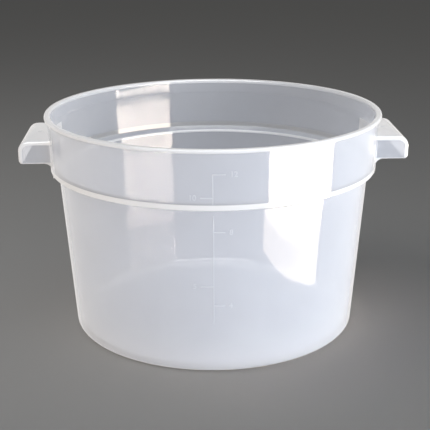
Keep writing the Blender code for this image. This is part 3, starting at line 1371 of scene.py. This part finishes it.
@dataclass(frozen=True)
class SoftboxCard:
    """A flat bright card that only reflections see.

    Its azimuth is in degrees. Its foot is a line of points along the card and their heights, and
    below each of its steps its glow is multiplied by the step's share.
    """

    name: str
    azimuth: float
    distance: float
    foot: tuple[tuple[float, float], ...]
    top: float
    glow: float
    colour: Colour
    steps: tuple[Band, ...] = ()

    def material(self) -> bpy.types.Material:
        """Build the card's glow.

        Returns:
            The material.
        """
        bench = SurfaceBench(self.name)
        strength: Value = self.glow
        for step in self.steps:
            level = bench.span(bench.height, step.low, step.high, step.share, 1.0)
            strength = bench.times(strength, level)
        light = bench.add("ShaderNodeEmission", {"Color": paint(self.colour), "Strength": strength})
        bench.feed(bench.tree.nodes["Material Output"].inputs["Surface"], light.outputs[0])
        bench.tree.nodes.remove(bench.shader)
        return bench.material

    def build(self) -> None:
        """Set up the card."""
        centre = direction(self.azimuth, 0.0) * self.distance
        turn = math.radians(self.azimuth)
        along = Vector((math.cos(turn), math.sin(turn), 0.0))
        places = (*self.foot, (self.foot[-1][0], self.top), (self.foot[0][0], self.top))
        corners = [centre + along * side + UP * high for side, high in places]
        mesh = bpy.data.meshes.new(self.name)
        mesh.from_pydata(corners, [], [tuple(range(len(corners)))])
        mesh.materials.append(self.material())
        card = new_object(self.name, mesh)
        for rays in ("camera", "diffuse", "shadow", "transmission"):
            setattr(card, "visible_" + rays, False)


@dataclass(frozen=True)
class PaleFloor:
    """A plain pale floor, a little warmer near the container."""

    radius: float = 9.0
    facets: int = 96
    near: float = 0.35
    far: float = 3.2
    near_colour: Colour = (0.465, 0.450, 0.432)
    far_colour: Colour = (0.46, 0.455, 0.440)
    roughness: float = 0.9

    def material(self) -> bpy.types.Material:
        """Build the floor's matt finish.

        Returns:
            The material.
        """
        bench = SurfaceBench("pale_floor")
        away = bench.span(bench.reach, self.near, self.far, soft=True)
        tint = bench.blend(away, paint(self.near_colour), paint(self.far_colour))
        return bench.dress({
            "Base Color": tint, "Roughness": self.roughness, "Specular IOR Level": 0.0})

    def build(self) -> None:
        """Lay the floor."""
        bm = bmesh.new()
        bmesh.ops.create_circle(bm, cap_ends=True, segments=self.facets, radius=self.radius)
        floor = new_object("floor", pour(bm, bpy.data.meshes.new("floor")))
        floor.data.materials.append(self.material())
        floor.visible_glossy = False


@dataclass(frozen=True)
class Glow:
    """A colour of light and its strength."""

    colour: Colour
    strength: float = 1.0


@dataclass(frozen=True)
class StudioAir:
    """The light from all round, what the gloss mirrors and what the camera sees past the floor."""

    light: Glow = Glow((1.0, 1.0, 1.0), 0.14)
    mirrored: Glow = Glow((1.0, 0.97, 0.95), 0.90)
    seen: Glow = Glow((0.115, 0.115, 0.112))

    def build(self) -> None:
        """Set up the world."""
        world = bpy.data.worlds.new("studio_air")
        bpy.context.scene.world = world
        world.use_nodes = True
        world.node_tree.nodes.clear()
        bench = NodeBench(world.node_tree)
        light, mirrored, seen = [
            bench.add("ShaderNodeBackground", {"Color": paint(glow.colour),
                                               "Strength": glow.strength}).outputs[0]
            for glow in (self.light, self.mirrored, self.seen)]
        path = bench.add("ShaderNodeLightPath").outputs
        share = bench.highest(path["Is Camera Ray"], path["Is Transmission Ray"])
        lit = bench.add("ShaderNodeMixShader", {0: path["Is Glossy Ray"], 1: light, 2: mirrored})
        mix = bench.add("ShaderNodeMixShader", {0: share, 1: lit.outputs[0], 2: seen})
        bench.add("ShaderNodeOutputWorld", {"Surface": mix.outputs[0]})


@dataclass(frozen=True)
class PhotoCamera:
    """The camera at the photograph's place and angles, which are in degrees."""

    place: Vector = Vector((-0.03641, -0.94082, 0.40792))
    pitch: float = 18.0109
    yaw: float = 2.3079
    roll: float = -0.280
    focal_px: float = 1008.38
    sensor: float = 36.0
    farthest: float = 50.0

    def build(self) -> None:
        """Set up the camera and make it the scene's."""
        data = bpy.data.cameras.new("photo_camera")
        data.sensor_width = self.sensor
        data.sensor_fit = "HORIZONTAL"
        data.lens = self.focal_px / IMAGE_SIDE_PX * self.sensor
        data.clip_end = self.farthest
        ahead = -direction(-self.yaw, self.pitch)
        level = ahead.cross(UP).normalized()
        upright = level.cross(ahead)
        roll = math.radians(self.roll)
        right = level * math.cos(roll) + upright * math.sin(roll)
        up = upright * math.cos(roll) - level * math.sin(roll)
        turn = Matrix((right, up, -ahead)).transposed()
        camera = new_object("photo_camera", data)
        camera.matrix_world = Matrix.Translation(self.place) @ turn.to_4x4()
        bpy.context.scene.camera = camera


@dataclass
class Studio:
    """Camera, floor, lamps and the cards that the glossy walls reflect."""

    lamps: tuple[StudioLamp, ...] = (
        StudioLamp("front_left_lamp", -25, 2, 1.3, (0.8, 0.3), 6.5, (1.0, 0.87, 0.74), True),
        StudioLamp("front_right_lamp", 25, 2, 1.3, (0.8, 0.3), 5.9, (0.58, 0.75, 1.0), True),
        StudioLamp("key_lamp", 68, 15, 1.2, (0.8, 0.6), 12.0, (1.0, 0.97, 0.93), True),
        StudioLamp("high_lamp", -80, 50, 1.3, (0.8, 0.8), 4.6, (1.0, 0.98, 0.96)),
        StudioLamp("top_lamp", 10, 78, 1.3, (1.1, 1.1), 1.9, (0.6, 0.8, 1.0)),
    )
    cards: tuple[SoftboxCard, ...] = (
        SoftboxCard("softbox_card", 58, 1.0,
                    ((-0.460, -0.398), (-0.095, -0.400), (0.130, -0.409), (0.405, -0.441)),
                    0.50, 0.9, (1.0, 0.86, 0.74),
                    (Band(0.17, 0.19, 38.0), Band(-0.325, -0.265, 0.20))),
        SoftboxCard("overhead_card", 0, 0.50, ((-0.70, 0.55), (0.70, 0.55)),
                    2.2, 7.0, (1.0, 1.0, 1.0)),
    )

    def build(self) -> None:
        """Set up everything round the container."""
        pieces = bpy.data.collections.new("container_pieces")
        for piece in bpy.context.scene.objects:
            if piece.type == "MESH":
                pieces.objects.link(piece)
        for part in (PhotoCamera(), PaleFloor(), StudioAir()):
            part.build()
        for lamp in self.lamps:
            lamp.build(pieces)
        for card in self.cards:
            card.build()
        bpy.context.scene.view_settings.view_transform = "Standard"


def main() -> None:
    """Build the container's pieces in order, then the studio."""
    logging.basicConfig(level=logging.INFO, format="%(name)s: %(message)s")
    body = TubBody()
    body.build()
    for side in Side:
        Handle(side, body).build()
    MeasuringScale(body).build()
    PlatePips(body).build()
    Studio().build()


if __name__ == "__main__":
    main()
